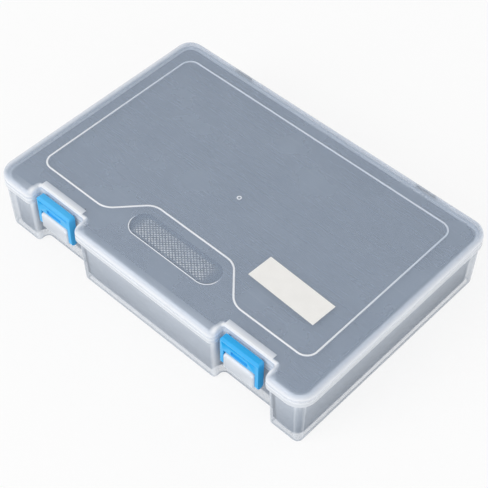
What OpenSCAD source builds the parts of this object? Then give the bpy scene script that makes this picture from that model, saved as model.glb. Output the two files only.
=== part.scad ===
// Clear plastic tool case with a hinged lid, two swing latches and a foam fill.
// +X is to the right, -Y is the front with the latches, +Z is up.
// The origin is the middle of the base's underside. Millimetres.

/* [Case] */
// Length of the case, left to right
case_l = 165; // [150:1:220]
// Depth of the case, front to back, without the hinges
case_w = 112; // [100:1:150]
// Height of the closed case
case_h = 32; // [31:0.5:60]
// Height of the lid above the parting plane
lid_h = 4.4; // [4.2:0.1:6]
// Wall thickness of the lid
wall = 1.5; // [1.2:0.1:1.8]
// Plan radius of the case's outer corners
rim_r = 8; // [6.5:0.5:12]
// Rounding of the lid's top edge
lid_edge = 3; // [2:0.1:3.2]

/* [Base] */
// Height of the thicker rim band round the top of the base
rim_h = 2.6; // [2:0.1:4]
// How far the walls are set back under the rim
wall_inset = 1.7; // [1:0.1:2]
// How much further the walls lean in at the bottom
draft = 0.8; // [0.3:0.1:1.2]
// Plan radius of the walls' outer corners
wall_r = 3.5; // [2.5:0.5:6]
// Rounding of the bottom edge
foot_r = 1.2; // [0.6:0.1:1.5]
// Thickness of the base's floor
floor_t = 1.6; // [1.2:0.1:2.5]
// Height of the locating tongue that stands inside the lid
tongue_h = 1.2; // [0.8:0.1:1.4]
// Thickness of the locating tongue
tongue_w = 1.3; // [1:0.1:1.6]

/* [Latch recesses] */
// Distance of each latch from the middle of the case
latch_x = 50.3; // [44:0.1:54]
// Depth of a recess at the rim
recess_d = 6.4; // [6.2:0.1:7.5]
// Width of a recess at the rim
recess_w = 23.3; // [22.5:0.1:25]
// How much deeper and wider on each side a recess is below the rim
recess_set = 0.4; // [0.2:0.1:0.6]
// Plan radius where a recess opens to the front
mouth_r = 2.5; // [2:0.1:3]
// Plan radius of a recess's inner corners
inner_r = 1.2; // [0.8:0.1:1.6]
// Width of the ridge along the top of a recess
ridge_w = 3; // [1.5:0.1:3.4]
// Height of the ridge
ridge_h = 0.3; // [0.2:0.05:0.5]

/* [Latches] */
// Width of a latch
latch_w = 19; // [17:0.5:20]
// How far the latch's face lies behind the case's front
latch_inset = 2.2; // [1.9:0.1:2.4]
// Radius of the round lower ends of the latch's legs, half the latch's depth
leg_r = 1.6; // [1.5:0.05:1.7]
// Thickness of a leg
leg_t = 1.65; // [1.3:0.05:2]
// Thickness of the face plate
plate_t = 1.5; // [1.2:0.1:1.6]
// Thickness of the hook along the latch's top
hook_t = 1.3; // [1:0.1:1.5]
// Bevel along the top of the face
latch_bevel = 0.9; // [0.5:0.1:1.2]
// Corner radius at the top of the face
latch_r = 1; // [0.5:0.1:1.5]
// How far the pivot lies below the parting plane
pivot_drop = 11; // [10.5:0.1:13]
// How far the opening between the legs reaches above the pivot
notch_h = 7.4; // [7:0.1:8]
// Radius of a pivot pip
pip_r = 1; // [0.8:0.05:1.1]
// Length of a pivot pip
pip_l = 1.2; // [0.8:0.1:1.6]
// Width of the slot moulded in the latch's face
pocket_w = 8.2; // [6:0.1:10]
// Height of the slot
pocket_h = 2.2; // [1.6:0.1:2.4]
// Depth of the slot
pocket_d = 0.8; // [0.4:0.1:1]
// Height of the slot's lower edge above the plate's
pocket_z = 0.7; // [0.4:0.1:1]

/* [Latch lugs and ledges] */
// How far a lug's face stands in front of the latch's face
lug_proud = 0.7; // [0.4:0.1:0.9]
// How far a lug reaches below the pivot
lug_drop = 1.9; // [1.7:0.1:2.2]
// Gap between a lug's top and the plate above it
lug_gap = 0.6; // [0.4:0.1:1]
// Rounding of a lug's long front edges
lug_r = 1.2; // [0.8:0.1:1.4]
// Wall left round the hollow of a lug
lug_wall = 1.2; // [0.9:0.1:1.4]
// Thickness of the ledge that a latch hooks over
ledge_t = 1.4; // [1:0.1:1.5]
// Gap between the ledge's ends and the latch's legs
ledge_end = 0.4; // [0.3:0.1:1]

/* [Hinges] */
// Distance of each hinge from the middle of the case
hinge_x = 50; // [40:1:54]
// Radius of the knuckles
knuckle_r = 2; // [1.8:0.1:2.2]
// Length of the lid's knuckle
knuckle_l = 10; // [6:0.5:14]
// Length of each of the base's two ears
ear_l = 5; // [3:0.5:7]
// Radius of the steel pins
pin_r = 1; // [0.75:0.05:1.1]

/* [Lid top] */
// Inset of the raised line from the sides and back
line_in = 11; // [9:0.5:14]
// Inset of the raised line from the front
line_front = 15.7; // [15:0.1:18]
// Width of the raised line
line_w = 1; // [0.6:0.1:1.4]
// Height of the raised line
line_h = 0.35; // [0.2:0.05:0.6]
// Half width of the line's step round the finger patch, at its foot
step_foot = 34.8; // [33:0.1:37]
// Half width of the step at its head
step_head = 21.4; // [20:0.1:24]
// How far the step's head lies behind the line's front
step_d = 14.7; // [14:0.1:17]
// Length of the finger patch
patch_l = 46; // [40:0.5:52]
// Width of the finger patch
patch_w = 12; // [9:0.5:13]
// Depth of the finger patch
patch_d = 0.8; // [0.4:0.1:0.9]
// Distance of the finger patch's middle from the case's front
patch_y = 20.1; // [18:0.1:22]
// Outer radius of the gate mark in the middle of the lid
gate_r = 1; // [0.6:0.1:1.4]

/* [Label] */
// Length of the label
label_l = 33.5; // [25:0.5:36]
// Height of the label
label_h = 12.2; // [9:0.1:14]
// Thickness of the label
label_t = 0.12; // [0.08:0.01:0.2]
// Distance of the label's middle to the right of the case's middle
label_x = 46; // [44:0.5:48]
// Distance of the label's middle in front of the case's middle
label_y = 20.6; // [18:0.5:24]
// Turn of the label as it was stuck on
label_turn = -2.4; // [-5:0.1:5]

/* [Foam] */
// Top of the foam floor layer
floor_foam = 10; // [6:0.5:12]
// Thickness of the pad under the lid
pad_t = 2; // [1.5:0.1:2.1]
// Number of tool slots
slot_n = 5; // [3:1:6]
// Distance between tool slots
slot_pitch = 20; // [18:0.5:21]
// Width of a tool slot
slot_w = 8; // [6.5:0.5:9]
// Length of a tool slot
slot_l = 72; // [60:1:78]
// Width of the wider end of a slot, round the tool's head
head_w = 13; // [10:0.5:15]
// Length of that wider end
head_l = 17; // [12:0.5:20]
// Distance of the first slot from the left side
slot_left = 24; // [22:0.5:28]
// Width of the finger channel across the slots
finger_w = 16; // [12:0.5:20]
// Length of the small tray for spare parts
tray_l = 34; // [24:0.5:38]
// Width of the small tray
tray_w = 22; // [16:0.5:24]

/* [Clearances] */
// Gap between lid and base at the parting plane
seam = 0.1; // [0.05:0.05:0.2]
// Gap between the tongue and the inside of the lid
tongue_gap = 0.2; // [0.15:0.05:0.3]
// Radial play of a pip or pin that turns
turn_gap = 0.05; // [0.02:0.01:0.08]
// Play between a leg and its lug, and between a knuckle and its ears
side_gap = 0.15; // [0.1:0.05:0.3]
// Gap between the hook and the ledge
hook_gap = 0.12; // [0.08:0.02:0.3]
// Gap between the ledge's front edge and the back of the latch's plate
ledge_gap = 0.2; // [0.15:0.05:0.4]
// Gap round the hinge knuckles
knuckle_gap = 0.3; // [0.25:0.05:0.4]
// Gap round the foam pieces
foam_gap = 0.3; // [0.2:0.05:0.5]

/* [Hidden] */
$fn = 48;
// Segments in each rounded plan corner
arc_n = 5;
// Bite that joins one solid to the next
bite = 0.3;
// Small bevel on both sides of the parting line
seam_bevel = 0.3;
// Smallest plan radius that an inset ring keeps
least = 0.3;
// Distance from a recess's edge to the ridge along it
ridge_in = 0.6;
// Plan radii of the raised line: at its corners, and at the foot and head of its step
line_r = 5;
foot_bend = 9;
head_bend = 8;
// Foam left between the last slot and the tray
tray_rib = 6;
// How far the lid's pad keeps inside the tongue, clear of it as the lid swings
pad_in = 1.2;

front = -case_w / 2;
part_z = case_h - lid_h;
rim_z = part_z - rim_h;
lid_z = part_z + seam;

// Latch pivot, and heights above it
pivot_y = front + latch_inset + leg_r;
pivot_z = part_z - pivot_drop;
hook_z = lid_z + ledge_t + hook_gap - pivot_z;
latch_top = hook_z + hook_t;
leg_in = latch_w / 2 - leg_t;
lug_half = leg_in - side_gap;
lug_top = notch_h - lug_gap;

// Hinge axis, clear of the wall behind the knuckles
hinge_y = case_w / 2 - wall_inset + knuckle_gap + knuckle_r;
hinge_z = rim_z;

// A ring is [z, side, depth, half, corner, mouth, inner]: its height, its inset from the
// sides, the depth and half width of its latch recesses, and its three kinds of radius.
rim = [part_z, 0, recess_d, recess_w / 2, rim_r, mouth_r, inner_r];
base_top = [rim_z, wall_inset, recess_d + recess_set, recess_w / 2 + recess_set,
    wall_r, mouth_r, inner_r];
lid_inside = grow(rim, wall);
tongue_out = grow(lid_inside, tongue_gap);
base_inside = grow(tongue_out, tongue_w);
// Rounding inside the bottom of the base
well_r = 1;
// Rounding inside the top of the lid
ceiling_r = max(lid_edge - wall, 0.5);

foam_top = part_z - foam_gap;
insert_z = floor_foam + foam_gap;
pad_z = case_h - wall - foam_gap - pad_t;

// Insets a ring by t all round: outer corners tighten and recess corners open.
function grow(ring, t) =
    [ring[0], ring[1] + t, ring[2] + t, ring[3] + t, max(ring[4] - t, least),
        max(ring[5] - t, least), ring[6] + t];

// The same ring at height z.
function at(ring, z) = [z, ring[1], ring[2], ring[3], ring[4], ring[5], ring[6]];

// The inside of the base at height z, which leans in towards the floor.
function well(z, t) = at(grow(base_inside, draft * (1 - z / rim_z) + t), z);

function unit(v) = v / norm(v);

// Rounds vertex v, between neighbours a and b, by an arc of radius r.
function arc_at(a, v, b, r) =
    let (
        u = unit(a - v),
        w = unit(b - v),
        half = acos(u * w) / 2,
        middle = v + unit(u + w) * r / sin(half),
        from = unit(v + u * r / tan(half) - middle),
        to = unit(v + w * r / tan(half) - middle),
        turn = 180 - 2 * half
    )
    [for (i = [0:arc_n])
        let (t = i / arc_n)
        middle + r * (sin((1 - t) * turn) * from + sin(t * turn) * to) / sin(turn)];

function flat(v) = [v[0], v[1]];

// Outline through vertices [x, y, radius]; a radius of 0 leaves the vertex sharp.
function rounded(verts) =
    let (n = len(verts))
    [for (i = [0:n - 1])
        let (v = verts[i], before = verts[(i + n - 1) % n], after = verts[(i + 1) % n])
        each v[2] == 0 ? [flat(v)] : arc_at(flat(before), flat(v), flat(after), v[2])];

// The case's outline for a ring, counter-clockwise from the front left corner.
function plan(ring) =
    let (
        x = case_l / 2 - ring[1],
        y = case_w / 2 - ring[1],
        d = front + ring[2],
        half = ring[3]
    )
    rounded([
        [-x, -y, ring[4]],
        [-latch_x - half, -y, ring[5]],
        [-latch_x - half, d, ring[6]],
        [-latch_x + half, d, ring[6]],
        [-latch_x + half, -y, ring[5]],
        [latch_x - half, -y, ring[5]],
        [latch_x - half, d, ring[6]],
        [latch_x + half, d, ring[6]],
        [latch_x + half, -y, ring[5]],
        [x, -y, ring[4]],
        [x, y, ring[4]],
        [-x, y, ring[4]]
    ]);

// A bowed loop inside a ring's outline, point for point, which splits the flat face that
// closes a skin into a band and a convex middle.
function hub(ring) =
    let (
        outline = plan(ring),
        // Sideways step of each vertex's points, away from the recesses
        step = [0, -0.5, -0.2, 0.2, 0.5, -0.5, -0.2, 0.2, 0.5, 0, 0, 0],
        low = front + ring[2] + 3,
        high = case_w / 2 - ring[1] - 3
    )
    [for (i = [0:len(outline) - 1])
        let (
            k = floor(i / (arc_n + 1)),
            x = step[k] == 0 ? 0.94 * outline[i][0] : outline[i][0] + step[k],
            bow = 3 * pow(2 * x / case_l, 2)
        )
        [x, outline[i][1] < 0 ? low + bow : high - bow]];

// Solid bounded by a chain of rings, closed by flat faces at its first and last ring.
module skin(rings) {
    count = len(plan(rings[0]));
    end = len(rings) - 1;
    loops = concat([hub(rings[0])], [for (ring = rings) plan(ring)], [hub(rings[end])]);
    heights = concat([rings[0][0]], [for (ring = rings) ring[0]], [rings[end][0]]);
    points = [for (k = [0:len(loops) - 1]) for (p = loops[k]) [p[0], p[1], heights[k]]];
    sides = [for (k = [0:len(loops) - 2]) for (i = [0:count - 1])
        let (
            j = (i + 1) % count,
            low = k * count,
            high = (k + 1) * count
        )
        each [[low + i, high + i, high + j], [low + i, high + j, low + j]]];
    first = [for (i = [0:count - 1]) i];
    last = [for (i = [0:count - 1]) len(points) - 1 - i];
    polyhedron(points, concat([first], sides, [last]));
}

// Extrudes an outline drawn in Y and Z along X, centred on x = 0.
module along_x(length) {
    translate([-length / 2, 0, 0])
        rotate([90, 0, 90])
            linear_extrude(length) children();
}

// Rod along X, centred on x = 0.
module rod(radius, length) {
    translate([-length / 2, 0, 0])
        rotate([0, 90, 0])
            cylinder(r = radius, h = length);
}

// Outline of the raised line on the lid; t moves it inwards.
function line_outline(t) =
    let (
        x = case_l / 2 - line_in - t,
        back = case_w / 2 - line_in - t,
        low = front + line_front + t,
        high = low + step_d,
        // Half the angle that the step's slope turns through, for a true offset
        slope = atan2(step_d, step_foot - step_head),
        shift = t * tan(slope / 2)
    )
    rounded([
        [-x, low, line_r - t],
        [-step_foot - shift, low, foot_bend - t],
        [-step_head - shift, high, head_bend + t],
        [step_head + shift, high, head_bend + t],
        [step_foot + shift, low, foot_bend - t],
        [x, low, line_r - t],
        [x, back, line_r - t],
        [-x, back, line_r - t]
    ]);

// Lug between a latch's legs, in the latch's own frame with the pivot at the origin.
module lug() {
    back = -front - recess_d - recess_set - tongue_w + pivot_y;
    face = -leg_r - lug_proud;
    difference() {
        along_x(2 * lug_half)
            polygon(rounded([
                [-back, -lug_drop, 0],
                [face, -lug_drop, lug_r / 2],
                [face, lug_top, lug_r],
                [-back, lug_top, 0]
            ]));
        for (side = [-1, 1])
            translate([side * lug_half, 0, 0])
                rod(pip_r + turn_gap, 2 * (pip_l + side_gap));
        // Hollow cored out from below
        translate([-lug_half + pip_l + 2 * lug_wall, face + lug_wall, -lug_drop - 1])
            cube([2 * (lug_half - pip_l - 2 * lug_wall), 2 * leg_r, lug_top + lug_drop - lug_wall + 1]);
    }
}

// One of the base's hinge ears, in the hinge's own frame with the axis at the origin.
module ear() {
    rod(knuckle_r, ear_l);
    along_x(ear_l)
        polygon([
            [-knuckle_r - knuckle_gap - tongue_w / 2, -knuckle_r],
            [0, -knuckle_r],
            [0, knuckle_r],
            [-knuckle_r - knuckle_gap - tongue_w / 2, knuckle_r]
        ]);
}

module base() {
    foot = grow(base_top, draft);
    ear_mid = knuckle_l / 2 + side_gap + ear_l / 2;
    color([0.82, 0.87, 0.92, 0.7])
    difference() {
        union() {
            skin(concat(
                [for (a = [0:30:90]) at(grow(foot, foot_r * (1 - sin(a))), foot_r * (1 - cos(a)))],
                [base_top, at(rim, rim_z), at(rim, part_z - seam_bevel), grow(rim, seam_bevel)],
                [at(tongue_out, part_z), at(tongue_out, part_z + tongue_h)],
                [at(base_inside, part_z + tongue_h), well(floor_t + well_r, 0)],
                [at(well(floor_t, 0.3 * well_r), floor_t + 0.3 * well_r), well(floor_t, well_r)]
            ));
            for (side = [-1, 1]) {
                translate([side * latch_x, pivot_y, pivot_z])
                    lug();
                for (end = [-1, 1])
                    translate([side * hinge_x + end * ear_mid, hinge_y, hinge_z])
                        ear();
            }
        }
        for (side = [-1, 1])
            translate([side * hinge_x, hinge_y, hinge_z]) {
                // Notch in the rim for the lid's arm
                notch_l = knuckle_l + 2 * side_gap;
                translate([-notch_l / 2, -knuckle_r - knuckle_gap / 2, -seam_bevel])
                    cube([notch_l, 2 * knuckle_r, rim_h + 1]);
                rod(pin_r, notch_l + 2 * ear_l + 2);
            }
    }
}

// The lid's ring at angle a up its rounded top edge. The recess wall stays near upright.
function lid_ring(a) =
    let (t = lid_edge * (1 - cos(a)), s = 1 - cos(a))
    [case_h - lid_edge * (1 - sin(a)), t, recess_d + 0.4 * s, recess_w / 2 + s,
        rim_r - 1.5 * t, mouth_r - 0.7 * s, inner_r];

module lid() {
    arm_in = -knuckle_r + knuckle_gap / 2;
    arm_top = case_h - hinge_z - lid_edge + 1;
    ledge_y = front + recess_d;
    ledge_d = recess_d - latch_inset - plate_t - ledge_gap;
    color([0.85, 0.9, 0.95, 0.6])
    difference() {
        union() {
            skin(concat(
                [for (a = [90:-30:0])
                    at(grow(lid_inside, ceiling_r * (1 - cos(a))),
                        case_h - wall - ceiling_r * (1 - sin(a)))],
                [at(lid_inside, lid_z), at(grow(rim, seam_bevel), lid_z)],
                [at(rim, lid_z + seam_bevel)],
                [for (a = [0:15:90]) lid_ring(a)]
            ));
            // Raised line round the top
            translate([0, 0, case_h - bite])
                linear_extrude(bite + line_h)
                    difference() {
                        polygon(line_outline(0));
                        polygon(line_outline(line_w));
                    }
            // Gate mark
            translate([0, 0, case_h - bite])
                cylinder(r = gate_r, h = bite + line_h / 2);
            for (side = [-1, 1]) {
                // Ledge for the latch's hook
                translate([side * latch_x - leg_in + ledge_end, ledge_y - ledge_d, lid_z])
                    cube([2 * (leg_in - ledge_end), ledge_d + wall / 2, ledge_t]);
                // Ridge along the top of the recess
                translate([side * latch_x, ledge_y + ridge_in, case_h])
                    along_x(recess_w)
                        polygon([
                            [0, -bite],
                            [ridge_w, -bite],
                            [ridge_w - ridge_h, ridge_h],
                            [ridge_h, ridge_h]
                        ]);
                // Hinge arm and knuckle
                translate([side * hinge_x, hinge_y, hinge_z]) {
                    rod(knuckle_r, knuckle_l);
                    along_x(knuckle_l)
                        polygon([
                            [arm_in, 0],
                            [-arm_in, 0],
                            [case_w / 2 - hinge_y, arm_top],
                            [arm_in, arm_top]
                        ]);
                }
            }
        }
        // Finger patch, a shallow dish with sloping sides
        translate([0, front + patch_y, case_h - patch_d])
            hull()
                for (side = [-1, 1])
                    translate([side * (patch_l - patch_w) / 2, 0, 0])
                        cylinder(r1 = patch_w / 2 - patch_d, r2 = patch_w / 2, h = patch_d + 0.01, $fn = 32);
        // Dimple in the gate mark
        translate([0, 0, case_h])
            cylinder(r = 0.6 * gate_r, h = line_h);
        for (side = [-1, 1])
            translate([side * hinge_x, hinge_y, hinge_z])
                rod(pin_r + turn_gap, knuckle_l + 2);
    }
}

// Latch in its own frame with the pivot at the origin.
module latch() {
    face = -leg_r;
    inside = face + plate_t;
    difference() {
        union() {
            rod(leg_r, latch_w);
            intersection() {
                along_x(latch_w)
                    polygon([
                        [face, 0],
                        [leg_r, 0],
                        [leg_r, latch_top],
                        [face + latch_bevel, latch_top],
                        [face, latch_top - latch_bevel]
                    ]);
                // Front outline with rounded top corners
                translate([0, leg_r + 1, 0])
                    rotate([90, 0, 0])
                        linear_extrude(2 * leg_r + 2)
                            polygon(rounded([
                                [-latch_w / 2, -1, 0],
                                [latch_w / 2, -1, 0],
                                [latch_w / 2, latch_top, latch_r],
                                [-latch_w / 2, latch_top, latch_r]
                            ]));
            }
        }
        // Room behind the plate, under the hook
        translate([-leg_in, inside, -leg_r - 1])
            cube([2 * leg_in, 2 * leg_r, hook_z + leg_r + 1]);
        // Opening between the legs
        translate([-leg_in, face - 1, -leg_r - 1])
            cube([2 * leg_in, 2 * leg_r + 2, notch_h + leg_r + 1]);
        // Slot moulded in the face
        translate([-pocket_w / 2, face - 1, notch_h + pocket_z])
            cube([pocket_w, 1 + pocket_d, pocket_h]);
    }
    for (side = [-1, 1])
        translate([side * (leg_in + (leg_t - pip_l) / 2), 0, 0])
            rod(pip_r, pip_l + leg_t);
}

module latch_left() {
    color([0.05, 0.45, 0.85])
        translate([-latch_x, pivot_y, pivot_z])
            latch();
}

module latch_right() {
    color([0.05, 0.45, 0.85])
        translate([latch_x, pivot_y, pivot_z])
            latch();
}

module hinge_pin() {
    color([0.7, 0.72, 0.75])
        rod(pin_r, knuckle_l + 2 * side_gap + 2 * ear_l);
}

module hinge_pin_left() {
    translate([-hinge_x, hinge_y, hinge_z])
        hinge_pin();
}

module hinge_pin_right() {
    translate([hinge_x, hinge_y, hinge_z])
        hinge_pin();
}

module foam_floor() {
    low = floor_t + foam_gap;
    color([0.12, 0.13, 0.16])
        skin([
            well(low, foam_gap + well_r),
            well(low + well_r, foam_gap),
            well(floor_foam, foam_gap)
        ]);
}

// Upright cut with rounded ends or corners, right through the insert.
module cut(x, y, width, length, radius) {
    translate([x, y, insert_z - 1])
        linear_extrude(foam_top - insert_z + 2)
            polygon(rounded([
                [-width / 2, -length / 2, radius],
                [width / 2, -length / 2, radius],
                [width / 2, length / 2, radius],
                [-width / 2, length / 2, radius]
            ]));
}

module foam_insert() {
    first_x = -case_l / 2 + slot_left;
    last_x = first_x + (slot_n - 1) * slot_pitch;
    tray_x = last_x + slot_pitch / 2 + tray_w / 2 + tray_rib;
    color([0.12, 0.13, 0.16])
    difference() {
        skin([
            well(insert_z, foam_gap),
            well(foam_top, foam_gap)
        ]);
        for (i = [0:slot_n - 1]) {
            cut(first_x + i * slot_pitch, 0, slot_w, slot_l, 2);
            cut(first_x + i * slot_pitch, (slot_l - head_l) / 2, head_w, head_l, 2);
        }
        cut((first_x + last_x) / 2, -finger_w / 2, last_x - first_x + slot_w, finger_w, 3);
        cut(tray_x, (slot_l - tray_l) / 2, tray_w, tray_l, 3);
        cut(tray_x, -slot_l / 4, slot_w, slot_l / 2 - 8, 2);
    }
}

module lid_pad() {
    pad = grow(base_inside, pad_in);
    color([0.16, 0.18, 0.22])
        skin([at(pad, pad_z), at(pad, pad_z + pad_t)]);
}

module label() {
    color("white")
        translate([label_x, -label_y, case_h])
            rotate([0, 0, label_turn])
                translate([-label_l / 2, -label_h / 2, 0])
                    cube([label_l, label_h, label_t]);
}

base();
lid();
latch_left();
latch_right();
hinge_pin_left();
hinge_pin_right();
foam_floor();
foam_insert();
lid_pad();
label();
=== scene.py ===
import math

import bmesh
import bpy
import numpy as np
from mathutils import Matrix, Vector


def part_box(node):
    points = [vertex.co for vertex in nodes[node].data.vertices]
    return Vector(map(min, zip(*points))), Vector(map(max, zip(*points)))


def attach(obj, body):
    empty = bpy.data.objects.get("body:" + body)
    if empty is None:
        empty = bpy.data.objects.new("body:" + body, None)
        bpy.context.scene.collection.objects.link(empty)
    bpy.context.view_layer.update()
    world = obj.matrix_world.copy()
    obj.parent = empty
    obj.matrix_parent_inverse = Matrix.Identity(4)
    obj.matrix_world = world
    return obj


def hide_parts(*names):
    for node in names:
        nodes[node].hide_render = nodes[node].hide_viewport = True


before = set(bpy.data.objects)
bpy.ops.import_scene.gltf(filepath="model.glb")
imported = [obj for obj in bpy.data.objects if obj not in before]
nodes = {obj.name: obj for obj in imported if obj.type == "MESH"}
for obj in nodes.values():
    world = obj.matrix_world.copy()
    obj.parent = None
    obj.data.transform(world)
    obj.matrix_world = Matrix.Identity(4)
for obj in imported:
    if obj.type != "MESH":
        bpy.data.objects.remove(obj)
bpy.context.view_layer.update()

# ---------------------------------------------------------------------------
# Base shell. One injection moulding in milky polypropylene: thin leaning walls,
# a thick rim band with a locating tongue, two front recesses with a lug each for
# the latches, and four hinge ears behind.
# ---------------------------------------------------------------------------
MM = 0.001
base_low, base_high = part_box("base")
case_l = base_high[0] - base_low[0]
case_w = 2 * abs(base_low[1])
case_h = 32 * MM
lid_h = 4.4 * MM
rim_h = 2.6 * MM
wall = 1.5 * MM
wall_inset = 1.7 * MM
draft = 0.8 * MM
floor_t = 1.6 * MM
foot_r = 1.2 * MM
well_r = 1 * MM
tongue_h = 1.2 * MM
tongue_w = 1.3 * MM
tongue_gap = 0.2 * MM
tongue_edge = 0.2 * MM
latch_x = 50.3 * MM
recess_more = 2 * MM
least_r = 0.3 * MM
part_z = case_h - lid_h
rim_z = part_z - rim_h
front = -case_w / 2

# A ring is height, inset from the sides, depth and half width of the recesses,
# and the radii of the outer corners, the recess mouths and the recess ends.
rim = np.array([27.6, 0, 6.4, 11.65, 8.0, 2.5, 1.2]) * MM
wall_top = np.array([25.0, 1.7, 6.8, 12.05, 3.5, 2.5, 1.2]) * MM


def inset(ring, t, z=None):
    """The ring moved inwards by t: outer radii lose t, recess radii gain t."""
    out = ring + np.array([0, t, t, t, -t, -t, t])
    out[4:6] = np.maximum(out[4:6], least_r)
    if z is not None:
        out[0] = z
    return out


def rounded(corners, radii, steps):
    """Each corner becomes an arc: its middle lies on the bisector at r / sin(half the
    angle), and its points turn evenly from one tangent point to the other."""
    before = np.roll(corners, 1, axis=0) - corners
    after = np.roll(corners, -1, axis=0) - corners
    before /= np.linalg.norm(before, axis=1, keepdims=True)
    after /= np.linalg.norm(after, axis=1, keepdims=True)
    half = np.arccos(np.clip((before * after).sum(axis=1), -1, 1)) / 2
    bisector = before + after
    bisector /= np.linalg.norm(bisector, axis=1, keepdims=True)
    r = radii[:, None]
    middle = corners + bisector * r / np.sin(half)[:, None]
    start = (corners + before * r / np.tan(half)[:, None] - middle) / r
    end = (corners + after * r / np.tan(half)[:, None] - middle) / r
    turn = (math.pi - 2 * half)[:, None, None]
    t = np.linspace(0, 1, steps + 1)[None, :, None]
    swing = np.sin((1 - t) * turn) * start[:, None] + np.sin(t * turn) * end[:, None]
    return (middle[:, None] + r[:, None] * swing / np.sin(turn)).reshape(-1, 2)


def case_outline(ring, steps=8):
    """The case's plan for a ring: a rectangle with a recess for each latch in front, which
    reaches a little further to the latch's right than to its left."""
    _, side, depth, half, corner, mouth, end = ring
    x, y, d = case_l / 2 - side, case_w / 2 - side, front + depth
    corners = [(-x, -y)]
    radii = [corner]
    for middle in (-latch_x, latch_x):
        wide = middle + half + recess_more
        corners += [(middle - half, -y), (middle - half, d), (wide, d), (wide, -y)]
        radii += [mouth, end, end, mouth]
    corners += [(x, -y), (x, y), (-x, y)]
    radii += [corner] * 3
    return rounded(np.array(corners), np.array(radii), steps)


def mesh_object(name, points, faces, milk_and_highlight=None, sharp=40):
    """A smooth mesh from arrays, with edges over the sharp angle kept crisp. milk, one value a
    point, says how dense the plastic looks there, with painted highlights added as extra density."""
    mesh = bpy.data.meshes.new(name)
    mesh.from_pydata(np.asarray(points).tolist(), [], faces)
    if milk_and_highlight is not None:
        layer = mesh.attributes.new("milk_and_highlight", "FLOAT", "CORNER")
        corner = np.zeros(len(mesh.loops), dtype=np.int32)
        mesh.loops.foreach_get("vertex_index", corner)
        layer.data.foreach_set("value", np.asarray(milk_and_highlight, dtype=np.float32)[corner])
    mesh.polygons.foreach_set("use_smooth", np.ones(len(mesh.polygons), dtype=bool))
    mesh.set_sharp_from_angle(angle=math.radians(sharp))
    mesh.update()
    obj = bpy.data.objects.new(name, mesh)
    bpy.context.collection.objects.link(obj)
    return obj


def set_milk_and_highlight(obj, rule):
    """Sets how dense the plastic looks at each face corner, painted highlights included: rule takes
    the corners' points, and the middle and normal of each corner's face, as whole arrays in
    millimetres."""
    mesh = obj.data
    points = np.zeros(len(mesh.vertices) * 3)
    mesh.vertices.foreach_get("co", points)
    corner = np.zeros(len(mesh.loops), dtype=np.int32)
    mesh.loops.foreach_get("vertex_index", corner)
    middle, normal = np.zeros(len(mesh.polygons) * 3), np.zeros(len(mesh.polygons) * 3)
    mesh.polygons.foreach_get("center", middle)
    mesh.polygons.foreach_get("normal", normal)
    sizes = np.zeros(len(mesh.polygons), dtype=np.int32)
    mesh.polygons.foreach_get("loop_total", sizes)
    face = np.repeat(np.arange(len(sizes)), sizes)
    value = rule(points.reshape(-1, 3)[corner] / MM, middle.reshape(-1, 3)[face] / MM,
                 normal.reshape(-1, 3)[face])
    if "milk_and_highlight" in mesh.attributes:
        mesh.attributes.remove(mesh.attributes["milk_and_highlight"])
    layer = mesh.attributes.new("milk_and_highlight", "FLOAT", "CORNER")
    layer.data.foreach_set("value", np.clip(value, 0, 1).astype(np.float32))


def bands_and_ends(loops):
    """The four-sided faces between each loop of points and the next, joined point for point,
    and the flat face at each end."""
    count = len(loops[0])
    i = np.arange(count)
    j = (i + 1) % count
    bands = [np.column_stack([k * count + i, k * count + j,
                              (k + 1) * count + j, (k + 1) * count + i])
             for k in range(len(loops) - 1)]
    return np.concatenate(bands).tolist(), i.tolist(), ((len(loops) - 1) * count + i).tolist()


def shell(name, rings):
    """The case's plan at each ring, joined from the first ring to the last."""
    plans = [case_outline(ring) for ring in rings]
    loops = [np.column_stack([plan, np.full(len(plan), ring[0])])
             for plan, ring in zip(plans, rings)]
    bands, first, last = bands_and_ends(loops)
    return mesh_object(name, np.concatenate(loops), [first[::-1]] + bands + [last])


def outwards(obj):
    """Turns every face of a mesh outwards."""
    bm = bmesh.new()
    bm.from_mesh(obj.data)
    bmesh.ops.recalc_face_normals(bm, faces=bm.faces)
    bm.to_mesh(obj.data)
    bm.free()


def bar(name, outline, x0, x1):
    """An outline in Y and Z carried along X from x0 to x1."""
    outline = np.asarray(outline)
    loops = [np.column_stack([np.full(len(outline), x), outline]) for x in (x0, x1)]
    bands, first, last = bands_and_ends(loops)
    obj = mesh_object(name, np.concatenate(loops), bands + [first[::-1], last])
    outwards(obj)
    return obj


def circle(y, z, r, count=40):
    """Points of a circle in Y and Z, evenly spaced."""
    a = np.linspace(0, 2 * math.pi, count, endpoint=False)
    return np.column_stack([y + r * np.cos(a), z + r * np.sin(a)])


def baked(obj):
    """The object's mesh with its modifiers applied."""
    depsgraph = bpy.context.evaluated_depsgraph_get()
    done = bpy.data.meshes.new_from_object(obj.evaluated_get(depsgraph))
    obj.modifiers.clear()
    obj.data = done


def combine(obj, tool, operation):
    """Applies one exact boolean to obj and drops the tool."""
    mod = obj.modifiers.new("join", "BOOLEAN")
    mod.operation = operation
    mod.solver = "EXACT"
    mod.object = tool
    baked(obj)
    bpy.data.objects.remove(tool)


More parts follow.
